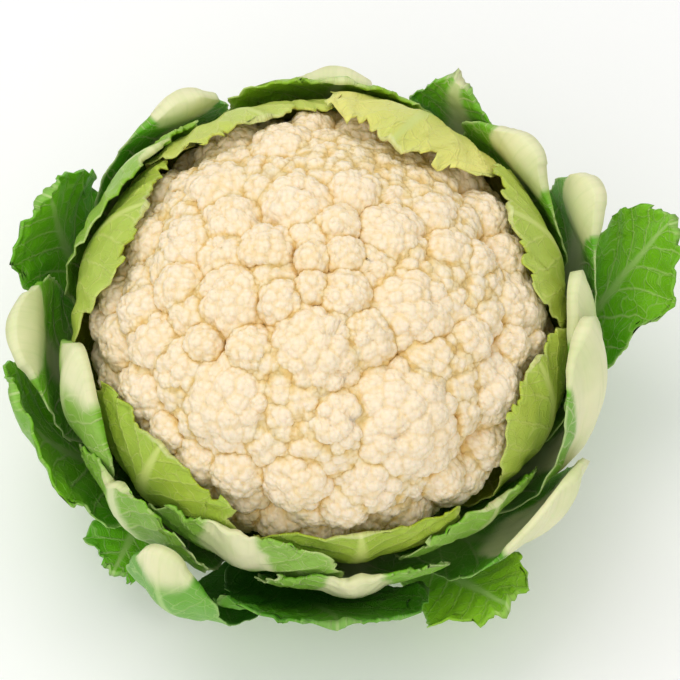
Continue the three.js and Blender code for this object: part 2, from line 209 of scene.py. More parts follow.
# What all leaves share. Widths are shares of a cell of a net or of the space between veins.
leafPattern = dict(
    # The darkest green here is painted shade for inner faces in the hollows between leaves.
    pale=(0.80, 0.79, 0.48), green=(0.52, 0.63, 0.25), torn=(0.74, 0.74, 0.42), paintedShade=(0.02, 0.12, 0.003),
    roughness=0.45, specular=0.28, scatter=0.1, scatterRadius=(0.5, 1.0, 0.2), scatterScale=0.0015,
    patchScale=30, patchShare=1.6, wobbleScale=160, wobble=0.22, veinWidth=0.085, veinTint=0.85,
    warpScale=9, warp=0.12, netScale=13, netWidth=0.055, netTint=0.5,
    fineScale=48, fineWidth=0.11, fineTint=0.14, underTint=0.55, rimStart=0.93, rimTint=0.6, tornTint=0.8,
    streakScale=(60.0, 3.0, 1.0), stemPale=0.9, stemEnds=(0.1, 0.45), fleshEnds=(0.15, 0.95),
    bumpHeight=0.0005,
)
# How bright and yellow a leaf is above its layer, up to 1, and below 0 how much painted shade darkens its
# inner face, down to -1.
freshAndShadedLeaves = dict(
    ragged_leaf_front_right=0.8, flared_leaf_right=0.35, inner_leaf_back_left=0.4, middle_leaf_back=0.6,
    flared_leaf_back_left=0.15, middle_leaf_back_left=0.3, outer_leaf_front=0.2, inner_leaf_back_right=0.9,
    inner_leaf_right=0.2, inner_leaf_front_right=0.15, outer_leaf_back_right=0.2, flared_leaf_left=0.3,
    outer_leaf_front_left=0.3, outer_leaf_left=0.25, inner_leaf_left=0.15, flared_leaf_front=-0.7,
    curled_leaf_front_left=-0.5,
)
# How much more than its layer the end of a leaf is crinkled.
crinkled = dict(inner_leaf_back_right=2.2, inner_leaf_back_left=1.6, ragged_leaf_front_right=2.0)
# Where along a leaf its pale flesh begins, over the whole width of a knob and else only along the midrib.
fleshStart = dict(
    outer_leaf_right=0.25, flared_leaf_front_right=0.3, outer_leaf_left=0.6, middle_leaf_left=0.72,
    outer_leaf_back_left=0.6, outer_leaf_back=0.5, outer_leaf_right_back=0.5, middle_leaf_back_right=0.5,
    middle_leaf_right=0.45, curled_leaf_front_left=0.72, middle_leaf_front=0.5, outer_leaf_front=0.4,
)


def leafMaterial(layer):
    # A green blade with a pale midrib, side veins, and a coarse and a fine net between them. Fresh parts,
    # painted shade, fleshy and torn parts go over it.
    look = {**leafPattern, **leafLooks[layer]}
    add, maths, above, noise, attribute, finish = nodeTree(layer + "Leaf", look)
    place = add("ShaderNodeTexCoord").outputs["Object"]
    flat = add("ShaderNodeTexCoord").outputs["UV"]

    def mix(factor, a, b):
        # colour a turned to b by the factor
        a, b = (value if isinstance(value, bpy.types.NodeSocket) else (*value, 1) for value in (a, b))
        return add("ShaderNodeMix", {0: factor, 6: a, 7: b}, data_type="RGBA").outputs[2]

    def easeIn(value, low, high, start=0.0, end=1.0):
        # start below low, end above high, and an s-curve between
        limits = {"Value": value, "From Min": low, "From Max": high, "To Min": start, "To Max": end}
        return add("ShaderNodeMapRange", limits, interpolation_type="SMOOTHSTEP").outputs[0]

    def clamp(value):
        return add("ShaderNodeClamp", {"Value": value}).outputs[0]

    def times(value, factor):
        return maths("MULTIPLY", value, factor)

    def line(distance, width):
        # 1 on a line and 0 at its width
        return clamp(maths("SUBTRACT", 1.0, maths("DIVIDE", distance, width)))

    def netLines(scale, width):
        # lines along the borders of flat cells
        cells = {"Vector": bent, "Scale": scale}
        net = add("ShaderNodeTexVoronoi", cells, feature="DISTANCE_TO_EDGE", voronoi_dimensions="2D")
        return line(net.outputs["Distance"], width)

    wobble = above(noise(place, look["wobbleScale"], 2), 0.5, look["wobble"])
    phase = maths("ADD", attribute("phase"), wobble)
    offVein = maths("ABSOLUTE", maths("SUBTRACT", maths("FRACT", phase), 0.5))
    vein = line(offVein, times(maths("SUBTRACT", 1.3, attribute("edge")), look["veinWidth"]))
    warp = add("ShaderNodeTexNoise", {"Vector": flat, "Scale": look["warpScale"], "Detail": 1},
               noise_dimensions="2D").outputs["Color"]
    bent = add("ShaderNodeVectorMath", {0: warp, "Scale": look["warp"]}, operation="SCALE").outputs[0]
    bent = add("ShaderNodeVectorMath", {0: flat, 1: bent}, operation="ADD").outputs[0]
    netLine = netLines(look["netScale"], look["netWidth"])
    fineLine = netLines(look["fineScale"], look["fineWidth"])
    ribReach = times(maths("SUBTRACT", 1.15, attribute("along")), look["ribWidth"])
    rib = clamp(maths("SUBTRACT", 1.5, maths("DIVIDE", maths("ABSOLUTE", attribute("across")), ribReach)))
    stem = easeIn(attribute("along"), *look["stemEnds"], look["stemPale"], 0.0)
    ribOrStem = maths("MAXIMUM", rib, stem)
    patches = noise(place, look["patchScale"], 4)
    stretched = add("ShaderNodeMapping", {"Vector": flat, "Scale": look["streakScale"]}).outputs[0]
    streaks = noise(stretched, 1.0, 3)

    toEdge = maths("ADD", attribute("edge"), above(patches, 0.5, look["patchShare"]))
    blade = mix(clamp(toEdge), look["near"], look["edge"])
    blade = mix(times(fineLine, look["fineTint"]), blade, look["rib"])
    blade = mix(times(netLine, look["netTint"]), blade, look["rib"])
    blade = mix(times(vein, look["veinTint"]), blade, look["rib"])
    underLine = clamp(times(maths("MAXIMUM", vein, netLine), look["underTint"]))
    under = mix(underLine, look["back"], look["rib"])
    under = mix(clamp(above(patches, 0.42, 1.6)), under, look["near"])
    blade = mix(attribute("fresh"), mix(attribute("back"), blade, under), look["fresh"])
    rim = easeIn(attribute("edge"), look["rimStart"], 1.0)
    blade = mix(times(rim, look["rimTint"]), blade, look["rib"])
    color = mix(times(ribOrStem, look["ribShow"]), blade, look["rib"])
    # painted shade: a negative fresh value turns the colour towards the shade colour
    color = mix(times(attribute("fresh"), -1.0), color, look["paintedShade"])
    pale = mix(clamp(above(patches, 0.4, 2.2)), look["pale"], look["green"])
    pale = mix(clamp(above(streaks, 0.5, 1.2)), pale, look["green"])
    flesh = maths("ADD", attribute("flesh"), above(patches, 0.5, 0.5))
    color = mix(easeIn(flesh, *look["fleshEnds"]), color, pale)
    color = mix(times(attribute("torn"), look["tornTint"]), color, look["torn"])

    bladeShare = maths("SUBTRACT", 1.0, maths("MAXIMUM", attribute("flesh"), ribOrStem))
    relief = maths("ADD", maths("ADD", times(netLine, 0.7), vein), times(fineLine, 0.35))
    relief = maths("ADD", times(relief, bladeShare), times(streaks, 0.35))
    bump = add("ShaderNodeBump", {"Height": relief, "Strength": 0.6, "Distance": look["bumpHeight"]})
    return finish(color, bump)


stalkLook = dict(
    flesh=(0.80, 0.78, 0.55), ring=(0.66, 0.72, 0.38), skin=(0.48, 0.58, 0.24), ringAt=0.55,
    roughness=0.5, specular=0.4, noiseScale=120, noiseTint=0.4,
    scatter=0.2, scatterRadius=(1.0, 0.2, 0.1), scatterScale=0.004, bumpHeight=0.0005,
)


def stalkMaterial():
    # moist pale flesh that turns green towards the skin, with noise in its colour and its surface
    look = stalkLook
    add, maths, above, noise, attribute, finish = nodeTree("stalkFlesh", look)
    grain = noise(add("ShaderNodeTexCoord").outputs["Object"], look["noiseScale"], 5)
    depth = maths("ADD", attribute("skin"), above(grain, 0.5, look["noiseTint"]))
    stops = [(0.0, look["flesh"]), (look["ringAt"], look["ring"]), (1.0, look["skin"])]
    color = ramp(add, depth, stops)
    bump = add("ShaderNodeBump", {"Height": grain, "Strength": 0.5, "Distance": look["bumpHeight"]})
    return finish(color, bump)


# The curd

# sizes in millimetres, angles in degrees, and shares and counts; the bud, grain, seam and depth tints are
# painted shade in creases, along seams between florets and low in the head
curd = dict(
    viewElevation=60, rimShare=0.985, spiralFlorets=170, spiralRadius=(8, 13), spiralStep=0.618034,
    lowestFloret=-26, bareShare=0.66, swell=1.3, fillTries=500, fillRadius=13, fillDepth=2.2, fillGap=4.6,
    fillLowest=-0.35, fillMargin=8, firstAngle=16, capAngle=118, capShare=0.4, buried=1.2, nearMargin=2,
    cell=0.54, hiddenCell=1.8, hiddenBelow=-6, hiddenLean=0.25, subRadius=4.8, crowding=2.1, budDepth=0.5,
    budSizes=(0.68, 1.22), budSink=(0.80, 0.97), budScatter=0.42, granules=60, granuleScatter=0.05,
    granuleHeight=0.5, granuleSizes=(0.75, 1.2), granuleReach=1.25, steep=(0.3, 0.75), budShadeTint=0.32,
    grainShadeTint=0.12, seam=(1.2, -0.6), seamShadeTint=0.75, deep=(0.97, 0.86), depthShadeTint=0.25, coreShare=0.82,
    coreRows=60, coreColumns=120, pieceTriangles=180000, seed=11,
)
# Florets that face the front, each as (across, up, radius) on a plane square to the view, in millimetres
# from the head's centre.
frontFlorets = [
    (-30, 57, 14), (-13, 57, 12), (15, 60, 13), (-4, 66, 8), (41, 48, 15), (37, 36, 8), (11, 43, 9),
    (-8, 38, 12), (-33, 42, 13), (-54, 43, 10), (-57, 28, 9), (23, 28, 11.5), (8, 23, 6), (6, 33, 6.5),
    (42, 24, 8), (54, 35, 10), (-18, 24, 8.5), (-3, 22, 5), (-3, 12.5, 5), (-44, 26, 10), (-47, 12, 8),
    (-29, 7, 11.5), (-13, 7.5, 7), (7.5, 9.5, 8), (28.5, 4, 14.5), (61, 22, 8.5), (51, 21, 7),
    (61, 5.5, 14), (49, -5, 7), (63, -7, 6.5), (71, -6, 5), (54, -20, 12.5), (-2, -9, 15.5),
    (-39, -6, 5.5), (-23, -8, 7), (-28, -25.5, 16.5), (-54, -6.5, 10), (-57, -22, 10.5), (-69, 9.5, 6.5),
    (-59, 4, 9), (-73, 0.5, 6.5), (25, -31, 20), (5, -32, 10.5), (16, -49, 12), (54, -39, 10),
    (51, -56, 13), (40, -51, 7), (27, -61.5, 9), (8, -58, 8.5), (-7.5, -49.5, 11), (-1, -66, 10.5),
    (-13, -65, 9), (-28, -48, 8), (-40, -44, 8.5), (-50, -36, 7),
]
# how far the florets of these numbers stand out of the dome, where it isn't 1 mm
frontLift = {32: 2, 35: 1.5, 41: 2.5}


def settled(centre, radius):
    # the lower half of the dome is shallower, and a floret's axis is the dome's normal at its centre
    if centre[2] < 0:
        centre = centre * np.array([1, 1, head["drop"] / head["rise"]])
    axis = unit(centre / np.array([head["radius"], head["radius"], head["rise"]]) ** 2)
    return centre, radius, axis


def floretOnSight(across, up, radius, lift):
    # the line of sight at (across, up) meets the dome that is smaller by the floret's own size
    wide, tall = head["radius"] - radius + lift, head["rise"] - radius + lift
    elevation = math.radians(curd["viewElevation"])
    sine, cosine = math.sin(elevation), math.cos(elevation)
    reach = math.hypot(across / wide, up / math.hypot(wide * sine, tall * cosine))
    shrink = curd["rimShare"] / max(reach, curd["rimShare"])
    x, v = across * shrink, up * shrink
    a = (cosine / wide) ** 2 + (sine / tall) ** 2
    b = 2 * v * sine * cosine * (1 / tall ** 2 - 1 / wide ** 2)
    c = (x / wide) ** 2 + (v * sine / wide) ** 2 + (v * cosine / tall) ** 2 - 1
    k = (-b + math.sqrt(max(b * b - 4 * a * c, 0))) / (2 * a)
    return settled(np.array([x, v * sine - k * cosine, v * cosine + k * sine]), radius)


def ballExits(rays, centres, radii):
    # how far from the origin each ray leaves each ball, or 0 where it misses the ball
    along = rays @ centres.T
    inside = radii ** 2 - (centres ** 2).sum(1) + along ** 2
    return np.where(inside > 0, along + np.sqrt(np.maximum(inside, 0)), 0)


def allFlorets():
    # The front florets, the spiral, and then small florets wherever the surface is still deep. Each one is
    # swollen about its own top, so that neighbours press against each other.
    florets = [floretOnSight(*row, frontLift.get(i, 1)) for i, row in enumerate(frontFlorets)]
    low, high = curd["spiralRadius"]
    for i in range(curd["spiralFlorets"]):
        z = 1 - (i + 0.5) * 2 / curd["spiralFlorets"]
        flat, turn = math.sqrt(1 - z * z), i * goldenAngle
        radius = low + (high - low) * ((i * curd["spiralStep"]) % 1)
        wide, tall = head["radius"] - radius, head["rise"] - radius
        centre = np.array([flat * math.cos(turn) * wide, flat * math.sin(turn) * wide, z * tall])
        bare = all(np.linalg.norm(c - centre) > curd["bareShare"] * (radius + r) for c, r, axis in florets)
        if centre[2] > curd["lowestFloret"] and bare:
            florets.append(settled(centre, radius))
    swell, fill = curd["swell"], curd["fillRadius"]
    swollen = [(c - axis * radius * (swell - 1), radius * swell, axis) for c, radius, axis in florets]
    for direction in spiralDirections(curd["fillTries"], curd["fillLowest"]):
        tall = head["rise"] if direction[2] > 0 else head["drop"]
        flatPart = (direction[0] ** 2 + direction[1] ** 2) / head["radius"] ** 2
        envelope = 1 / math.sqrt(flatPart + (direction[2] / tall) ** 2)
        centres, radii = (np.array([row[k] for row in swollen]) for k in (0, 1))
        deep = envelope - ballExits(direction[None, :], centres, radii).max() > curd["fillGap"]
        if deep and direction[2] * envelope > curd["lowestFloret"] - curd["fillMargin"]:
            centre = direction * (envelope - curd["fillDepth"] - fill)
            axis = unit(centre / np.array([head["radius"], head["radius"], tall]) ** 2)
            swollen.append((centre, fill, axis))
    return swollen


def spiralDirections(count, lowest=-1.0):
    # evenly spread unit vectors from the pole down to a height
    z = 1 - (np.arange(count) + 0.5) * (1 - lowest) / count
    flat, turn = np.sqrt(1 - z * z), np.arange(count) * goldenAngle
    return np.stack([flat * np.cos(turn), flat * np.sin(turn), z], axis=1)


def axesAround(axis, spin):
    # three rows: two sides square to the axis, turned by spin, and the axis itself
    side = unit(np.cross([0.31, 0.95, 0.05], axis))
    other = np.cross(axis, side)
    return np.stack([math.cos(spin) * side + math.sin(spin) * other,
                     math.cos(spin) * other - math.sin(spin) * side, axis])


def polarWays(polar, turn):
    # unit vectors from an angle off +z and a turn round it
    polar, turn = np.broadcast_arrays(polar, turn)
    return np.stack([np.sin(polar) * np.cos(turn), np.sin(polar) * np.sin(turn), np.cos(polar)], axis=-1)


def openAngles(floret, others, axes):
    # for each turn round a floret, how far down it lies clear of its neighbours, and whether any of it does
    centre, radius = floret[:2]
    turns = np.linspace(0, 2 * math.pi, 73)[:-1]
    polars = np.radians(np.linspace(curd["firstAngle"], curd["capAngle"], 40))
    points = (polarWays(polars[None, :], turns[:, None]) * radius) @ axes + centre
    clear = np.ones(points.shape[:2], dtype=bool)
    for c, r, a in others:
        clear &= np.linalg.norm(points - c, axis=-1) > r - curd["buried"]
    last = np.where(clear.any(axis=1), clear.shape[1] - 1 - clear[:, ::-1].argmax(axis=1), 0)
    reach = polars[np.minimum(last + 1, len(polars) - 1)]
    widest = np.maximum.reduce([np.roll(reach, k) for k in (-2, -1, 0, 1, 2)])
    return turns, sum(np.roll(widest, k) for k in (-2, -1, 0, 1, 2)) / 5, clear.any()


def capDirections(count, turns, reaches):
    # a square grid bent to a disc, then to a cap of nearly equal cells, each turn down to its own angle
    side = np.linspace(-1, 1, count)
    a, b = np.meshgrid(side, side, indexing="ij")
    wide = np.abs(a) > np.abs(b)
    radius = np.where(wide, a, b)
    with np.errstate(divide="ignore", invalid="ignore"):
        turn = np.where(wide, math.pi / 4 * b / a, math.pi / 2 - math.pi / 4 * a / b)
    turn = (np.nan_to_num(turn) + np.where(radius < 0, math.pi, 0)) % (2 * math.pi)
    reach = np.interp(turn, turns, reaches, period=2 * math.pi)
    polar = 2 * np.arcsin(np.abs(radius) * np.sin(reach / 2))
    return polarWays(polar, turn).reshape(-1, 3)


def floretSurface(floret, others, draw, granuleSet):
    # A floret is read from its centre: along each ray, the furthest exit from its buds, which are balls
    # on a spiral over it, and each bud carries domed granules round its own nearest of a set of directions.
    centre, radius, axis = floret
    axes = axesAround(axis, draw.uniform(0, 6.28))
    turns, reaches, shows = openAngles(floret, others, axes)
    if not shows:
        return None
    hidden = centre[2] < curd["hiddenBelow"] + curd["hiddenLean"] * centre[1]
    cell = curd["hiddenCell"] if hidden else curd["cell"]
    area = radius ** 2 * (1 - np.cos(reaches)).mean() * 2 * math.pi
    count = max(10, int(math.sqrt(area * 1.1) / cell))
    rays = capDirections(count, turns, reaches)
    subRadius = curd["subRadius"] * (0.55 + 0.028 * radius)
    lowest = math.cos(min(reaches.max() + 0.25, 2.4))
    buds = max(7, int(curd["crowding"] * 2 * (1 - lowest) * (radius / subRadius) ** 2))
    scatter = draw.normal(0, curd["budScatter"] / math.sqrt(buds), (buds, 3))
    spots = unit(spiralDirections(buds, lowest) + scatter)
    size = subRadius * draw.uniform(*curd["budSizes"], buds)
    spots = spots * (radius - size * draw.uniform(*curd["budSink"], buds))[:, None]
    exits = ballExits(rays, spots, size)
    winner = exits.argmax(axis=1)
    reach = exits.max(axis=1)
    core = radius - curd["budDepth"] * subRadius
    isCore = reach < core
    reach = np.maximum(reach, core)
    normal = unit(rays * reach[:, None] - np.where(isCore[:, None], 0, spots[winner]))
    spins = np.linalg.qr(draw.normal(size=(buds, 3, 3)))[0]
    local = np.einsum("nij,nj->ni", spins[winner], normal)
    nearness = local @ granuleSet.T
    nearest = nearness.max(axis=1)
    spread = math.sqrt(4 / len(granuleSet)) * curd["granuleReach"]
    away = np.arccos(np.clip(nearest, -1, 1)) / spread
    dome = 1 - np.minimum(away, 1) ** 2
    grainSizes = draw.uniform(*curd["granuleSizes"], (buds, len(granuleSet)))
    grainSize = grainSizes[winner, nearness.argmax(axis=1)]
    second = np.partition(exits, -2, axis=1)[:, -2]
    # painted shade: the crease value darkens the colour where two buds meet and between granules
    budCreaseShade = smoothStep(0.8, 0.0, reach - second)
    # steep sides stay smooth, because there the grid is too wide for granules
    facing = smoothStep(*curd["steep"], (normal * rays).sum(1))
    crease = budCreaseShade * curd["budShadeTint"] + (1 - dome) * curd["grainShadeTint"] * facing
    relief = curd["granuleHeight"] * (dome * grainSize * facing - 1)
    points = rays * reach[:, None] + normal * relief[:, None]
    return points @ axes + centre, crease, count


def domeReach(points):
    # how far a point lies out, as a share of the dome's surface in its direction
    x, y, z = points.T
    tall = np.where(z > 0, head["rise"], head["drop"])
    return np.sqrt((x / head["radius"]) ** 2 + (y / head["radius"]) ** 2 + (z / tall) ** 2)


def nearOthers(points, others):
    # how near each point of a floret is to the ball of a neighbour, in millimetres
    return np.min([np.linalg.norm(points - c, axis=1) - r for c, r, a in others], axis=0)


def capFaces(count, start):
    # the grid's quads and a fan that closes the cap underneath, round one extra point
    quads = gridFaces(count, count, start)
    top = np.arange(count - 1)
    ring = np.concatenate([top, top * count + count - 1, count * count - 1 - top,
                           (count - 1 - top) * count]) + start
    fan = np.stack([np.roll(ring, -1), ring, np.full(len(ring), start + count * count)], axis=1)
    return quads.tolist() + fan.tolist()


def buildCurd(material):
    # florets in their turn round the head, in pieces of a limited size, and a core under them
    draw = np.random.default_rng(curd["seed"])
    scatter = draw.normal(0, curd["granuleScatter"], (curd["granules"], 3))
    granuleSet = unit(spiralDirections(curd["granules"]) + scatter)
    florets = allFlorets()
    florets.sort(key=lambda floret: math.atan2(floret[0][1], floret[0][0]))
    groups, inGroup, total = [[]], 0, 0
    for floret in florets:
        centre, radius, axis = floret
        others = [(c, r, a) for c, r, a in florets
                  if c is not centre and np.linalg.norm(c - centre) < r + radius + curd["nearMargin"]]
        made = floretSurface(floret, others, draw, granuleSet)
        if made is None:
            continue
        points, crease, count = made
        gap = nearOthers(points, others)
        # painted shade where a floret meets its neighbours and where it lies low in the head
        crease = crease + smoothStep(*curd["seam"], gap) * curd["seamShadeTint"]
        crease = crease + smoothStep(*curd["deep"], domeReach(points)) * curd["depthShadeTint"]
        points = np.vstack([points, centre - axis * radius * curd["capShare"]])
        if inGroup + 2 * count * count > curd["pieceTriangles"]:
            groups.append([])
            inGroup = 0
        groups[-1].append((points, np.append(crease, 1), count))
        inGroup += 2 * count * count + 4 * count
        total += 2 * count * count + 4 * count
    for number, group in enumerate(groups, 1):
        faces, start = [], 0
        for points, crease, count in group:
            faces += capFaces(count, start)
            start += len(points)
        points = np.vstack([row[0] for row in group])
        points[:, 2] += head["height"]
        crease = np.clip(np.concatenate([row[1] for row in group]), 0, 1)
        newObject(f"curd_florets_{number}", points, faces, ["curd"], material, {"crease": crease})
    print("curd built:", len(florets), "florets in", len(groups), "pieces,", total, "triangles")
    points, faces = domeCore()
    # the core under the florets takes the full painted crease shade
    newObject("curd_core", points, faces, ["curd"], material, {"crease": np.ones(len(points))})


def domeCore():
    # the oval dome under the florets, on rings from pole to pole
    rows, columns, share = curd["coreRows"], curd["coreColumns"], curd["coreShare"]
    polar = np.linspace(0, math.pi, rows)[1:-1, None]
    turn = np.linspace(0, 2 * math.pi, columns, endpoint=False)[None, :]
    x = head["radius"] * share * np.sin(polar) * np.cos(turn)
    y = head["radius"] * share * np.sin(polar) * np.sin(turn)
    z = np.where(np.cos(polar) > 0, head["rise"], head["drop"]) * share * np.cos(polar) + 0 * turn
    poles = [[0, 0, head["rise"] * share], [0, 0, -head["drop"] * share]]
    points = np.vstack([np.stack([x, y, z], axis=-1).reshape(-1, 3), poles])
    points[:, 2] += head["height"]
    return points, ringFaces(rows - 2, columns, flip=True)


# The leaves

# Each row of path is (azimuth, climb, shell, half width), from the foot of the blade to its torn end. Azimuth
# is in degrees from the front, climb is 0 under the head and 90 at its waist, and shell is in millimetres
# out from the dome. root is where the stem leaves the stalk, and end is how round the corners are.
leafShape = dict(
    rows=50, columns=38, petiole=3.4, blade=1.0, rim=0.45, rootHalfWidth=9.5, gap=0.4,
    knobStart=0.55, knobEnd=1.03, knobWave=0.4, cornerPower=2.2, foldStart=0.35, pucker=0.55,
    veins=7, veinSlope=0.42, notch=0.02, step=0.02,
)
# The midrib's half width and height, how far out one edge laps, the height and number of the edge's waves,
# how crinkled the blade is, how much painted shade darkens its inner face low down, and how pale its torn end
# is.
layers = {
    "inner": dict(rib=(7, 2.2), lap=1.0, ruffle=(0.4, 2), crinkle=0.7, paintedShade=0.1, cut=0.6),
    "middle": dict(rib=(8, 2.6), lap=1.0, ruffle=(0.5, 2), crinkle=0.7, paintedShade=0.4, cut=0.9),
    "outer": dict(rib=(11, 5.0), lap=1.1, ruffle=(0.5, 2), crinkle=0.8, paintedShade=0.5, cut=1),
    "flared": dict(rib=(9, 4.0), lap=0.0, ruffle=(3.0, 3), crinkle=1.2, paintedShade=0.5, cut=0.15),
}
leaves = [
    # Thin inner leaves, pressed against the head
    dict(name="inner_leaf_front", root=4, end=0.1, seed=1,
         path=[(6, 46, 5.5, 20), (8, 68, 5.5, 32), (9, 84, 4.6, 36), (9, 94, 3.6, 31)]),
    dict(name="inner_leaf_front_left", root=-47, end=0.12, seed=2,
         path=[(-46, 46, 5.5, 20), (-46, 72, 5.5, 34), (-44, 93, 4.2, 36), (-42, 110, 3.6, 27)]),
    dict(name="inner_leaf_left", root=-99, end=0.12, seed=3,
         path=[(-99, 48, 5.5, 21), (-102, 80, 5, 35), (-107, 106, 4.1, 33), (-111, 131, 3.6, 22)]),
    dict(name="inner_leaf_back_left", root=-150, end=0.1, seed=4,
         path=[(-153, 48, 5.5, 21), (-155, 80, 5.2, 39), (-156, 108, 3.8, 37), (-160, 136, 3.8, 26)]),
    dict(name="inner_leaf_back_right", root=158, end=0.12, seed=5,
         path=[(153, 48, 5.5, 21), (153, 82, 5.2, 36), (152, 114, 4.95, 34.5), (149, 147, 4.4, 22)]),
    dict(name="inner_leaf_right", root=107, end=0.12, seed=6,
         path=[(105, 48, 5.5, 20), (105, 80, 5.2, 31.5), (106, 104, 4.5, 31), (108, 128, 4.4, 23)]),
    dict(name="inner_leaf_front_right", root=55, end=0.12, seed=7,
         path=[(56, 46, 5.5, 18), (60, 70, 5.5, 24), (65, 93, 4.7, 26.5), (68, 114, 3.8, 21)]),
    # Middle leaves
    dict(name="middle_leaf_front", root=-18, end=0.1, seed=8,
         path=[(-18, 46, 10.5, 20), (-18, 66, 10.5, 34), (-19, 83, 9.4, 34), (-20, 97, 8.4, 25)]),
    dict(name="middle_leaf_left", root=-69, end=0.3, seed=9, knob=6,
         path=[(-68, 48, 10.5, 20), (-68, 76, 10.5, 28), (-69, 96, 9.4, 26), (-72, 113, 11, 15)]),
    dict(name="middle_leaf_back_left", root=-121, end=0.15, seed=10,
         path=[(-122, 48, 10.5, 20), (-124, 80, 10.2, 36), (-127, 104, 8.6, 33), (-130, 122, 8, 23)]),
    dict(name="middle_leaf_back", root=188, end=0.15, seed=11,
         path=[(182, 48, 10.5, 20), (178, 80, 10.4, 38), (177, 104, 9.6, 36), (175, 120, 9.6, 25)]),
    dict(name="middle_leaf_back_right", root=136, end=0.3, seed=12, knob=5,
         path=[(131, 48, 10.5, 20), (128, 80, 10.2, 34), (128, 101, 9.6, 27),
               (127, 111, 13, 18), (126, 115, 20, 14)]),
    dict(name="middle_leaf_right", root=85, end=0.3, seed=13, knob=6,
         path=[(82, 48, 10.5, 19), (84, 78, 10.5, 26), (88, 98, 9.4, 22), (92, 112, 11.5, 13)]),
    dict(name="middle_leaf_front_right", root=34, end=0.12, seed=14,
         path=[(35, 46, 10.5, 18), (37, 62, 10.5, 26), (39, 77, 9.6, 28), (41, 88, 8.6, 22)]),
    # Outer leaves, with the thickest midribs
    dict(name="outer_leaf_front", root=8, end=0.1, seed=15,
         path=[(8, 44, 16.5, 19), (7, 60, 16.5, 30), (7, 72, 15.2, 32), (7, 83, 13.8, 24)]),
    dict(name="outer_leaf_front_left", root=-37, end=0.15, seed=16,
         path=[(-40, 46, 16.5, 19), (-43, 68, 16, 29), (-45, 83, 14.8, 30), (-47, 95, 13.4, 24)]),
    dict(name="outer_leaf_left", root=-82, end=0.3, seed=17, knob=4,
         path=[(-85, 48, 16.5, 20), (-86, 74, 16.5, 29), (-86, 88, 16.5, 26),
               (-85, 97, 20, 23), (-84, 102, 28, 19)]),
    dict(name="outer_leaf_back_left", root=-127, end=0.3, seed=29, knob=6,
         path=[(-136, 48, 16.5, 20), (-140, 76, 16.5, 28), (-145, 94, 15.5, 24),
               (-148, 103, 15.5, 18), (-149, 107, 18, 14)]),
    dict(name="outer_leaf_back", root=188, end=0.3, seed=19, knob=6,
         path=[(184, 48, 16.5, 19), (180, 74, 16.5, 26), (178, 87, 16.5, 23),
               (177, 94, 17, 18), (177, 98, 19, 14)]),
    dict(name="outer_leaf_back_right", root=143, end=0.4, seed=20,
         path=[(146, 48, 16.5, 16.5), (148, 78, 16.5, 22), (149, 95, 16, 20),
               (150, 105, 17, 16), (150, 110, 22, 11)]),
    dict(name="outer_leaf_right_back", root=98, end=0.3, seed=21, knob=6,
         path=[(103, 48, 16.5, 18), (109, 76, 16.5, 26), (112, 93, 17, 22),
               (113, 102, 20.5, 16), (113, 107, 28, 13)]),
    dict(name="outer_leaf_right", root=53, end=0.3, seed=22, knob=4,
         path=[(60, 46, 16.5, 19), (67, 70, 16.5, 26), (72, 90, 15.5, 23),
               (76, 105, 15, 18), (78, 114, 16.5, 13)]),
    # The oldest leaves, which bend away from the head
    dict(name="flared_leaf_right", root=90, end=0.35, seed=23, fold=(7, 2),
         path=[(96, 46, 25, 16), (101, 64, 25, 21), (104, 80, 30, 23), (105, 91, 38, 23), (105, 98, 46, 17)]),
    dict(name="flared_leaf_front_right", root=34, end=0.4, seed=24, knob=3,
         path=[(40, 44, 25, 17), (46, 60, 24.5, 27), (51, 76, 23, 30), (55, 91, 22, 24)]),
    dict(name="flared_leaf_front", root=-20, end=0.25, seed=32, fold=(0, 3),
         path=[(-10, 42, 25, 20), (-2, 56, 25, 32), (2, 66, 25.5, 38), (3, 74, 27, 29)]),
    dict(name="flared_leaf_left", root=-66, end=0.3, seed=26, fold=(3, 0),
         path=[(-67, 44, 25, 20), (-69, 64, 25, 32), (-71, 82, 26, 34), (-73, 96, 28, 25)]),
    dict(name="flared_leaf_back_left", root=-112, end=0.4, seed=27, fold=(2, 12),
         path=[(-113, 46, 25, 18), (-114, 68, 23.5, 24), (-114, 85, 22, 25),
               (-113, 98, 22.5, 24), (-112, 106, 25, 18)]),
    dict(name="curled_leaf_front_left", root=-13, end=0.25, seed=30, knob=5,
         path=[(-20, 40, 33.5, 12), (-23, 52, 34, 14), (-27, 68, 32, 17),
               (-29, 85, 27, 16), (-30, 95, 23.5, 12)]),
    dict(name="ragged_leaf_front_right", root=31, end=0.3, seed=31, fold=(4, 0),
         path=[(31, 40, 33, 12), (33, 50, 34, 17), (34, 59, 36, 21), (35, 66, 40, 18)]),
    dict(name="hanging_leaf", root=-57, end=0.15, seed=28,
         path=[(-55, 34, 33, 10), (-53, 44, 35, 13), (-49, 50, 39, 14), (-46, 54, 44, 11)]),
]
# Knob is extra flesh at the end and fold how far each edge bends outwards, in millimetres. The layer is the
# first word of the name, or else flared.
for leaf in leaves:
    firstWord = leaf["name"].split("_")[0]
    leaf["layer"] = firstWord if firstWord in layers else "flared"
    leaf.setdefault("knob", 0)
    leaf.setdefault("fold", (0, 0))


def alongRows(rows, column, share):
    # a value along control rows, smooth through every row
    spans = len(rows) - 1
    place = np.clip(share, 0, 1) * spans
    index = np.minimum(np.floor(place).astype(int), spans - 1)
    local = place - index
    values = np.array([row[column] for row in rows], dtype=float)
    before, start = values[np.maximum(index - 1, 0)], values[index]
    end, after = values[index + 1], values[np.minimum(index + 2, spans)]
    return 0.5 * (2 * start + (end - before) * local
                  + (2 * before - 5 * start + 4 * end - after) * local ** 2
                  + (3 * start - before - 3 * end + after) * local ** 3)


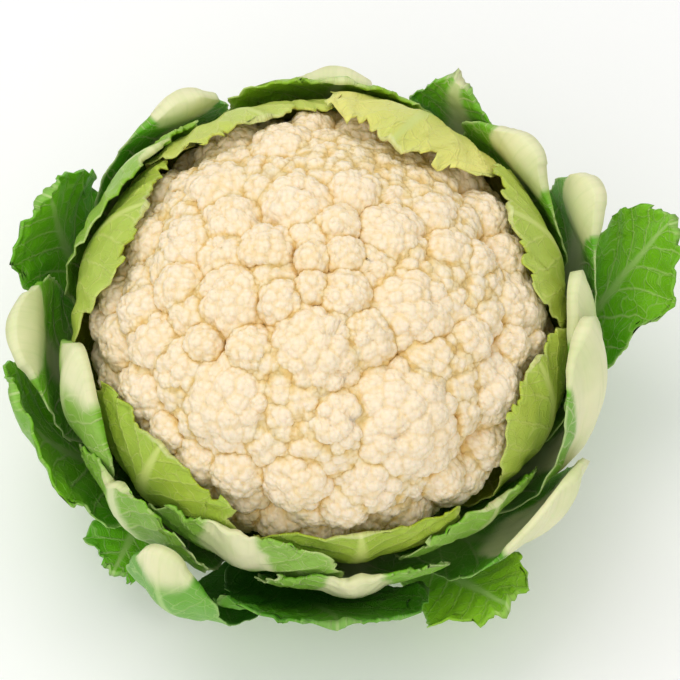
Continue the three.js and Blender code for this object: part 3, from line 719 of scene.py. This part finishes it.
def smoothNoise(x, seed):
    # three sines of different length
    return (0.5 * np.sin(1.7 * x + 12.9 * seed) + 0.3 * np.sin(3.1 * x + 4.7 * seed)
            + 0.2 * np.sin(5.3 * x + 7.1 * seed))


def shellPoint(azimuth, climb, shell):
    # a point round the head, from its azimuth and climb in radians and its distance out from the dome
    reach = (head["radius"] + shell) * np.sin(climb)
    tall = np.where(climb < math.pi / 2, head["drop"] + head["lowShellGrowth"] * shell, head["rise"] + shell)
    z = head["height"] - tall * np.cos(climb)
    return np.stack([reach * np.sin(azimuth), -reach * np.cos(azimuth), z], axis=-1)


def leafSurface(leaf, rows, share, across):
    # The middle surface: a spine along the rows, a width laid square to it on its shell, one edge lapped
    # outside the other, a waved and notched edge, and a blade that puckers between its side veins.
    layer, shape = layers[leaf["layer"]], leafShape
    seed = leaf["seed"]
    edge = np.abs(across)
    tear = 0.05 * smoothNoise(4 * across, seed) + shape["notch"] * smoothNoise(17 * across, seed + 3)
    tear = (tear + 0.4 * shape["notch"] * smoothNoise(43 * across, seed + 5)) * (leaf["knob"] == 0)
    length = share * (1 - leaf["end"] * edge ** shape["cornerPower"] + tear * share)
    azimuth, climb, shell, width = (alongRows(rows, column, length) for column in range(4))
    reach = np.maximum((head["radius"] + shell) * np.sin(np.radians(climb)), stalk["radius"])
    meridian = 0.5 * (head["radius"] + head["rise"]) + shell
    step = shape["step"]
    ahead = [alongRows(rows, column, length + step) - alongRows(rows, column, length - step)
             for column in range(3)]
    sideways, upward = reach * np.radians(ahead[0]), meridian * np.radians(ahead[1])
    lean = np.arctan2(sideways, np.hypot(upward, ahead[2])) * np.minimum(1, 3 * length)
    tip = np.arctan2(ahead[2], upward)
    side = np.where(across < 0, 0.37, 0.71)
    ragged = (0.12 * smoothNoise(9 * length + side * 10, seed)
              + 0.05 * smoothNoise(34 * length + side * 10, seed + 1)
              + 0.022 * smoothNoise(90 * length + side * 10, seed + 2))
    distance = across * width * (1 + length * ragged)
    phase = shape["veins"] * (length * 1.1 - shape["veinSlope"] * edge ** 0.8 * (width / 36)) + side
    height, waves = layer["ruffle"]
    height = shape["knobWave"] if leaf["knob"] else height
    wave = height * length * edge ** 2.2 * np.sin(2 * math.pi * (waves * length + side) + seed)
    folding = np.maximum(0, length - shape["foldStart"]) / (1 - shape["foldStart"])
    bend = np.where(across < 0, leaf["fold"][0], leaf["fold"][1]) * edge * folding
    crinkle = layer["crinkle"]
    frill = crinkle * length * edge ** 3 * smoothNoise(26 * length + side * 7, seed + 4)
    endFrill = crinkle * crinkled.get(leaf["name"], 1) * smoothStep(0.7, 1.0, length) * (leaf["knob"] == 0)
    frill = frill + endFrill * smoothNoise(6 * across + 5 * length, seed + 8)
    pucker = -shape["pucker"] * np.cos(2 * math.pi * phase) * np.minimum(1, 2.2 * edge)
    pucker = pucker * smoothStep(0.25, 0.5, length)
    dimple = 0.35 * crinkle * smoothNoise(distance * 0.35 + seed, seed) * smoothNoise(length * 30, seed + 2)
    dimple = dimple * smoothStep(0.3, 0.6, length)
    calm = 1 - smoothStep(0.45, 0.7, length) * (leaf["knob"] > 0)
    frill, pucker, dimple = frill * calm, pucker * calm, dimple * calm
    lap = layer["lap"] * across * np.minimum(1, 2 * length)
    return dict(
        azimuth=np.radians(azimuth) + distance * np.cos(lean) / reach,
        climb=np.radians(climb) - distance * np.sin(lean) / meridian,
        shell=shell + wave + bend + frill + pucker + dimple + lap, length=length, width=width, tip=tip,
        meridian=meridian, distance=distance, phase=phase, edge=edge,
    )


def buildLeaf(leaf, material):
    # Two faces, each half the thickness off the middle surface, joined round their border. A leaf is thick
    # at its stem, its midrib and its knob, and thin at its edge.
    layer, shape, knob = layers[leaf["layer"]], leafShape, leaf["knob"]
    baseShell = leaf["path"][0][2]
    baseReach = head["radius"] + baseShell - shape["petiole"] / 2
    baseClimb = math.degrees(math.asin((stalk["radius"] + shape["gap"]) / baseReach))
    rows = [(leaf["root"], baseClimb, baseShell, shape["rootHalfWidth"])] + leaf["path"]
    steps, columns = shape["rows"] + 1, shape["columns"] + 1
    share = np.linspace(0, 1, steps)[:, None] * np.ones((1, columns))
    spread = np.linspace(-1, 1, columns)[None, :]
    across = np.sign(spread) * np.abs(spread) ** 0.85 * np.ones((steps, 1))
    spot = leafSurface(leaf, rows, share, across)
    length = spot["length"]
    thin = np.minimum(1, 3 * length)
    thickness = shape["petiole"] + (shape["blade"] - shape["petiole"]) * thin
    thickness = thickness * (1 - (1 - shape["rim"]) * smoothStep(0.75, 1.0, spot["edge"]) * thin)
    knobShare = np.clip((length - shape["knobStart"]) / (shape["knobEnd"] - shape["knobStart"]), 0, 1)
    thickness = thickness + knob * np.sin(math.pi * knobShare) * (1 - across ** 2)
    ribWidth = layer["rib"][0] * (1 - 0.5 * length) / np.maximum(spot["width"], 1)
    ridge = np.maximum(0, 1 - (across / (1.5 * ribWidth)) ** 2) ** 1.2
    straight = np.maximum(0, np.cos(spot["tip"])) ** 2
    bulge = layer["rib"][1] * ridge * straight * (1 - 0.45 * length) * np.minimum(1, 0.4 + 3 * length)
    lipSwell = (1 - straight) * 1.8 * np.maximum(0, 1 - (across / 0.95) ** 2)
    torn = smoothStep(0.975, 1.0, share) * smoothStep(0.5, 0.1, spot["edge"]) * (knob == 0) * layer["cut"]
    start = fleshStart.get(leaf["name"], 2)
    reach = 0.5 + (0.6 if knob > 0 else 0.0) * smoothStep(start, 0.95, length)
    flesh = smoothStep(start, start + 0.2, length) * smoothStep(reach, reach - 0.25, spot["edge"])
    points, uvs, attributes = [], [], {}
    for face in (-1, 1):
        out = face * thickness / 2 + (bulge if face > 0 else -0.35 * ridge - lipSwell)
        point = shellPoint(spot["azimuth"], spot["climb"] - out * np.sin(spot["tip"]) / spot["meridian"],
                           spot["shell"] + out * np.cos(spot["tip"]))
        points.append(point.reshape(-1, 3))
        back = np.full_like(length, 1.0 if face > 0 else 0.0)
        # fresh is the yellow of a young leaf where positive; where negative, and low on the inner face, it is
        # painted shade
        fresh = np.full_like(length, freshAndShadedLeaves.get(leaf["name"], 0.0))
        fresh = np.where(fresh > 0, fresh * (0.6 + 0.4 * spot["edge"]), fresh * (face < 0))
        fresh = fresh - layer["paintedShade"] * smoothStep(0.7, 0.35, length) * (face < 0)
        values = dict(across=spot["distance"], along=length, phase=spot["phase"], edge=spot["edge"],
                      torn=torn, flesh=flesh, back=back, fresh=fresh)
        for key, value in values.items():
            attributes.setdefault(key, []).append(value.ravel())
        uvs.append(np.stack([spot["distance"] * 0.01 + 0.5, length * 1.1], axis=-1).reshape(-1, 2))
    size = steps * columns
    faces = gridFaces(steps, columns, size).tolist() + gridFaces(steps, columns, 0, flip=True).tolist()
    j, i, last = np.arange(columns - 1), np.arange(steps - 1), (steps - 1) * columns
    border = np.concatenate([j, i * columns + columns - 1, last + columns - 1 - j, last - i * columns])
    after = np.roll(border, -1)
    faces += np.stack([border, after, size + after, size + border], axis=1).tolist()
    attributes = {key: np.concatenate(values) for key, values in attributes.items()}
    newObject(leaf["name"] + "_blade", np.vstack(points), faces, [leaf["name"]],
              material, attributes, np.vstack(uvs))


# The stalk

def buildStalk(material):
    # A turned column with a soft edge, faint grooves where old leaves sat, and a closed cut end. The profile
    # is read by share: across the cut end, up the side, and across the top.
    rows, columns = stalk["rows"], stalk["columns"]
    t = np.linspace(0, 1, rows)[:, None]
    turn = np.linspace(0, 2 * math.pi, columns, endpoint=False)[None, :]
    low, high = stalk["sideShares"]
    side = np.clip((t - low) / (high - low), 0, 1)
    cutRadius = stalk["radius"] * np.sin(np.clip(t / low, 0, 1) * math.pi / 2) ** 0.9
    radius = np.where(t < low, cutRadius, stalk["radius"])
    radius = np.where(t > high, stalk["radius"] * (1 - (t - high) / (1 - high)), radius)
    grooves = 0.35 * np.sin(5 * turn + 9 * side) + 0.2 * np.sin(13 * turn + 2.3)
    radius = radius - 0.35 * (1 + grooves) * smoothStep(0.0, 0.2, side) * smoothStep(1.0, 0.9, side)
    cutHeight = 0.25 * (1 + np.cos(radius * 0.9)) * smoothStep(0.95, 0.6, radius / stalk["radius"])
    z = np.where(t < low, cutHeight, stalk["top"] * side + 0 * turn)
    rounding = stalk["edge"] * smoothStep(0.12, 0.0, side) * smoothStep(low - 0.06, low, t)
    radius = radius - rounding * 0.6 * (t >= low)
    rings = np.stack([radius * np.cos(turn), radius * np.sin(turn), z], axis=-1)[1:-1].reshape(-1, 3)
    points = np.vstack([rings, [[0, 0, stalk["cutMiddle"]], [0, 0, stalk["top"]]]])
    skin = np.append((smoothStep(0.0, 0.3, side) * np.ones_like(turn))[1:-1].ravel(), [0, 1])
    faces = ringFaces(rows - 2, columns)
    newObject("stalk_flesh", points, faces, ["stalk"], material, {"skin": skin})
    print("stalk built")


# Floor, light and camera

studio = dict(
    lens=180, sensor=36, span=234, aim=(6.2, -4.8), elevation=60, floorTone=0.97, floorHalfWidth=3.0,
    lightHeight=0.07, sky=0.76,
)
# azimuth from the front and elevation in degrees, distance and size in metres, power in watts
lights = {
    "keyLight": dict(azimuth=-130, elevation=70, distance=0.9, size=0.6, power=2.4, color=(1, 0.99, 0.965)),
    "fillLight": dict(azimuth=-15, elevation=46, distance=1.1, size=0.9, power=2.4, color=(1, 0.985, 0.95)),
}


def plainMaterial(name, tone):
    # a dull surface of one pale tone
    material = bpy.data.materials.new(name)
    material.use_nodes = True
    shader = material.node_tree.nodes["Principled BSDF"]
    shader.inputs["Base Color"].default_value = (tone, tone, tone * 0.995, 1)
    shader.inputs["Roughness"].default_value = 0.9
    return material


def buildFloor():
    # a wide pale sheet under the object
    mesh = bpy.data.meshes.new("floor")
    wide = studio["floorHalfWidth"]
    corners = [(-wide, -wide, 0), (wide, -wide, 0), (wide, wide, 0), (-wide, wide, 0)]
    mesh.from_pydata(corners, [], [(0, 1, 2, 3)])
    mesh.materials.append(plainMaterial("paleFloor", studio["floorTone"]))
    floor = bpy.data.objects.new("floor", mesh)
    bpy.context.scene.collection.objects.link(floor)


def areaLight(name, azimuth, elevation, distance, size, power, color):
    # a square soft light that faces the head
    data = bpy.data.lights.new(name, "AREA")
    data.size, data.energy, data.color = size, power, color
    light = bpy.data.objects.new(name, data)
    a, e = math.radians(azimuth), math.radians(elevation)
    way = np.array([math.sin(a) * math.cos(e), -math.cos(a) * math.cos(e), math.sin(e)])
    light.location = way * distance + [0, 0, studio["lightHeight"]]
    light.rotation_euler = Vector(-way).to_track_quat("-Z", "Y").to_euler()
    bpy.context.scene.collection.objects.link(light)


def buildCamera():
    # a long lens at the photograph's angle, aimed so that the head sits where the photograph has it
    e = math.radians(studio["elevation"])
    across, up = studio["aim"]
    target = np.array([across, up * math.sin(e), head["height"] + up * math.cos(e)]) * mm
    back = np.array([0, -math.cos(e), math.sin(e)])
    data = bpy.data.cameras.new("camera")
    data.lens, data.sensor_width = studio["lens"], studio["sensor"]
    camera = bpy.data.objects.new("camera", data)
    camera.location = target + back * studio["span"] * mm * studio["lens"] / studio["sensor"]
    camera.rotation_euler = Vector(-back).to_track_quat("-Z", "Y").to_euler()
    bpy.context.scene.collection.objects.link(camera)
    bpy.context.scene.camera = camera


def buildWorld():
    # an even pale sky
    world = bpy.data.worlds.new("paleRoom")
    world.use_nodes = True
    background = world.node_tree.nodes["Background"]
    background.inputs["Color"].default_value = (1, 1, 1, 1)
    background.inputs["Strength"].default_value = studio["sky"]
    bpy.context.scene.world = world
    bpy.context.scene.view_settings.view_transform = "Standard"


buildCurd(curdMaterial())
leafMaterials = {layer: leafMaterial(layer) for layer in layers}
for leaf in leaves:
    buildLeaf(leaf, leafMaterials[leaf["layer"]])
print("leaves built:", len(leaves))
buildStalk(stalkMaterial())
buildFloor()
buildWorld()
for name, light in lights.items():
    areaLight(name, **light)
buildCamera()
